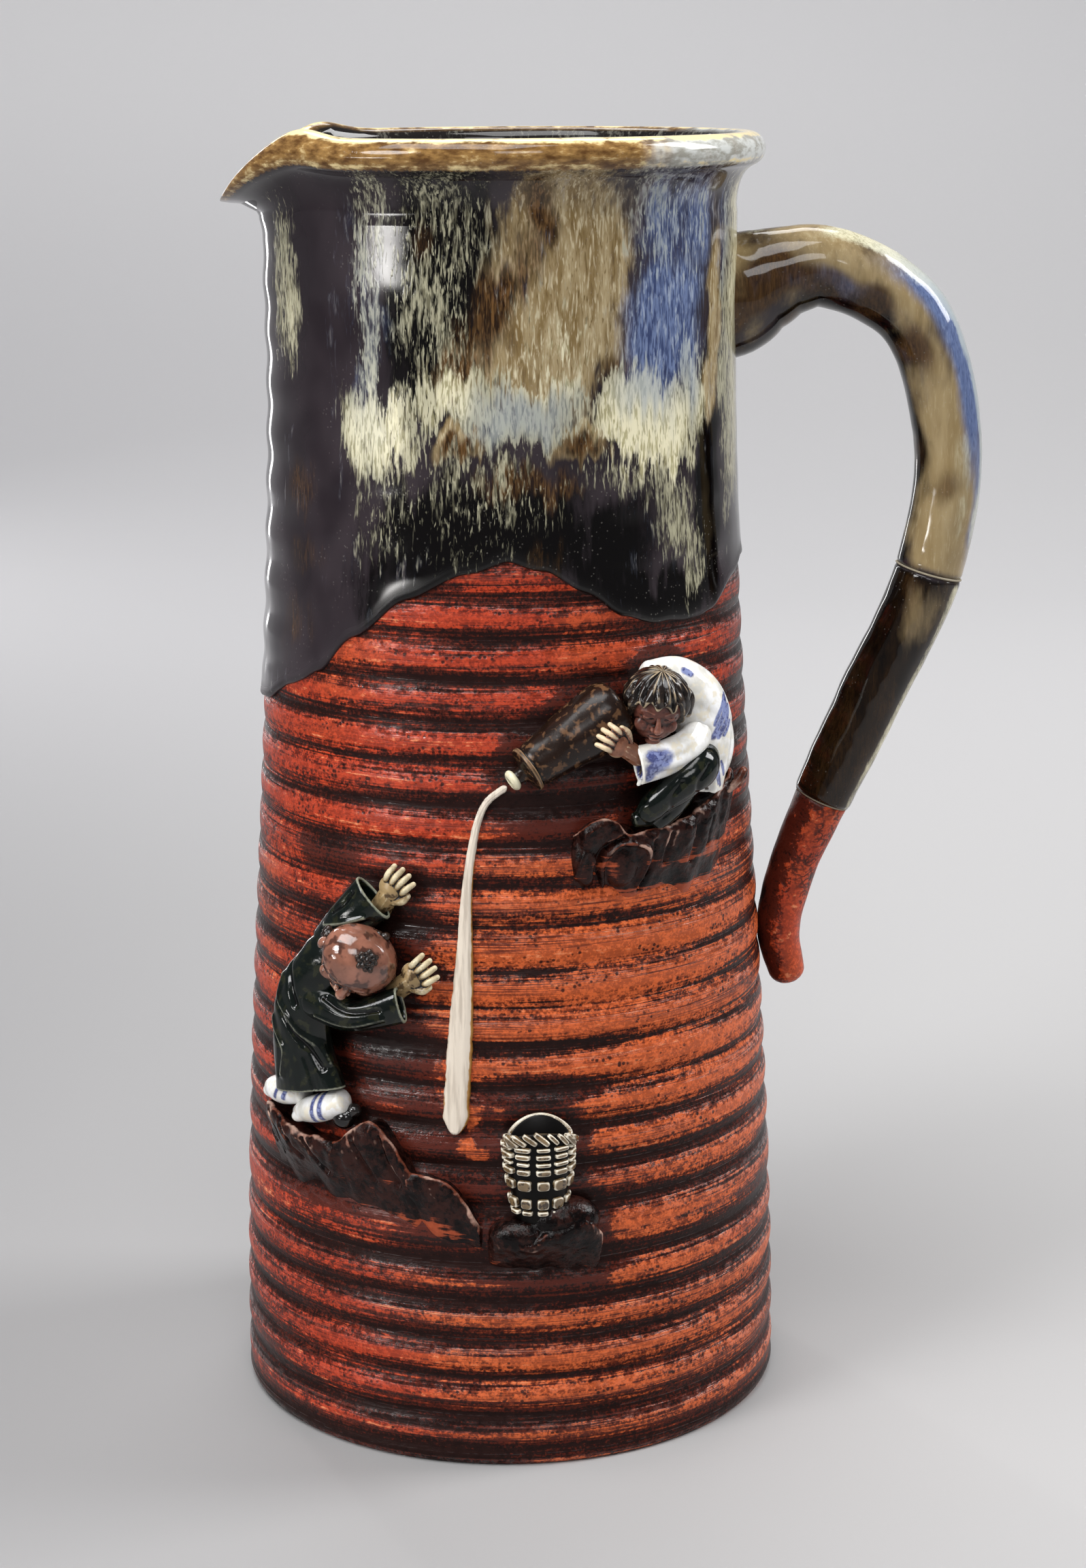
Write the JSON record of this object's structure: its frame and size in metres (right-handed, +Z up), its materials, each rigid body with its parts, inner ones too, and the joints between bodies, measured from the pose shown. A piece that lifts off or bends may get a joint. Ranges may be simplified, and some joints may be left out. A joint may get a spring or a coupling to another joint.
{
  "type": "sake jug",
  "caption": "Tall wheel-thrown stoneware sake jug with ringed red walls, a flambe glazed neck, a pulled pouring lip, a looped side handle and applied relief figures.",
  "frame": {"origin": "centre of the flat base, on the thrown axis", "axes": "+Z up the thrown axis, +X towards the handle, -X towards the pouring lip, -Y towards the decorated front"},
  "size_m": [0.1812, 0.1377, 0.3063],
  "materials": {
    "red_clay": "worn red slip over dark brown clay, satin",
    "flambe_glaze": "glossy streaked glaze in black, cream, ochre and blue",
    "bond_filler": "matt off-white repair filler",
    "rock_clay": "dark brown clay, satin with glossy patches",
    "white_glaze": "glossy white glaze with blue brushwork in places",
    "green_glaze": "glossy dark green glaze",
    "skin_glaze": "warm brown glaze, semi-gloss",
    "pale_skin": "dirty cream clay, satin",
    "dark_hair": "dark brown glaze, semi-gloss",
    "brown_glaze": "glossy dark brown glaze with worn edges",
    "cream_glaze": "cream glaze, semi-gloss",
    "basket_glaze": "cream and dark woven relief, semi-gloss"
  },
  "bodies": {
    "root": {"jug_body": "red_clay", "handle_arch": "flambe_glaze", "upper_repair_bond": "bond_filler", "handle_shank": "flambe_glaze", "lower_repair_bond": "bond_filler", "handle_tail": "red_clay", "upper_ledge": "rock_clay", "pourer_head": "skin_glaze", "pourer_hair": "dark_hair", "pourer_hand": "skin_glaze", "pourer_sleeve": "white_glaze", "pourer_trousers": "green_glaze", "pourer_robe": "white_glaze", "jar_mouth": "cream_glaze", "sake_jar": "brown_glaze", "sake_stream": "white_glaze", "lower_ledge": "rock_clay", "ledge_spur": "rock_clay", "catcher_left_foot": "white_glaze", "catcher_right_foot": "white_glaze", "catcher_topknot": "dark_hair", "catcher_head": "skin_glaze", "catcher_upper_hand": "pale_skin", "catcher_lower_hand": "pale_skin", "catcher_lower_sleeve": "green_glaze", "catcher_upper_sleeve": "green_glaze", "catcher_robe": "green_glaze", "basket_rock": "rock_clay", "basket": "basket_glaze"}
  },
  "joints": []
}
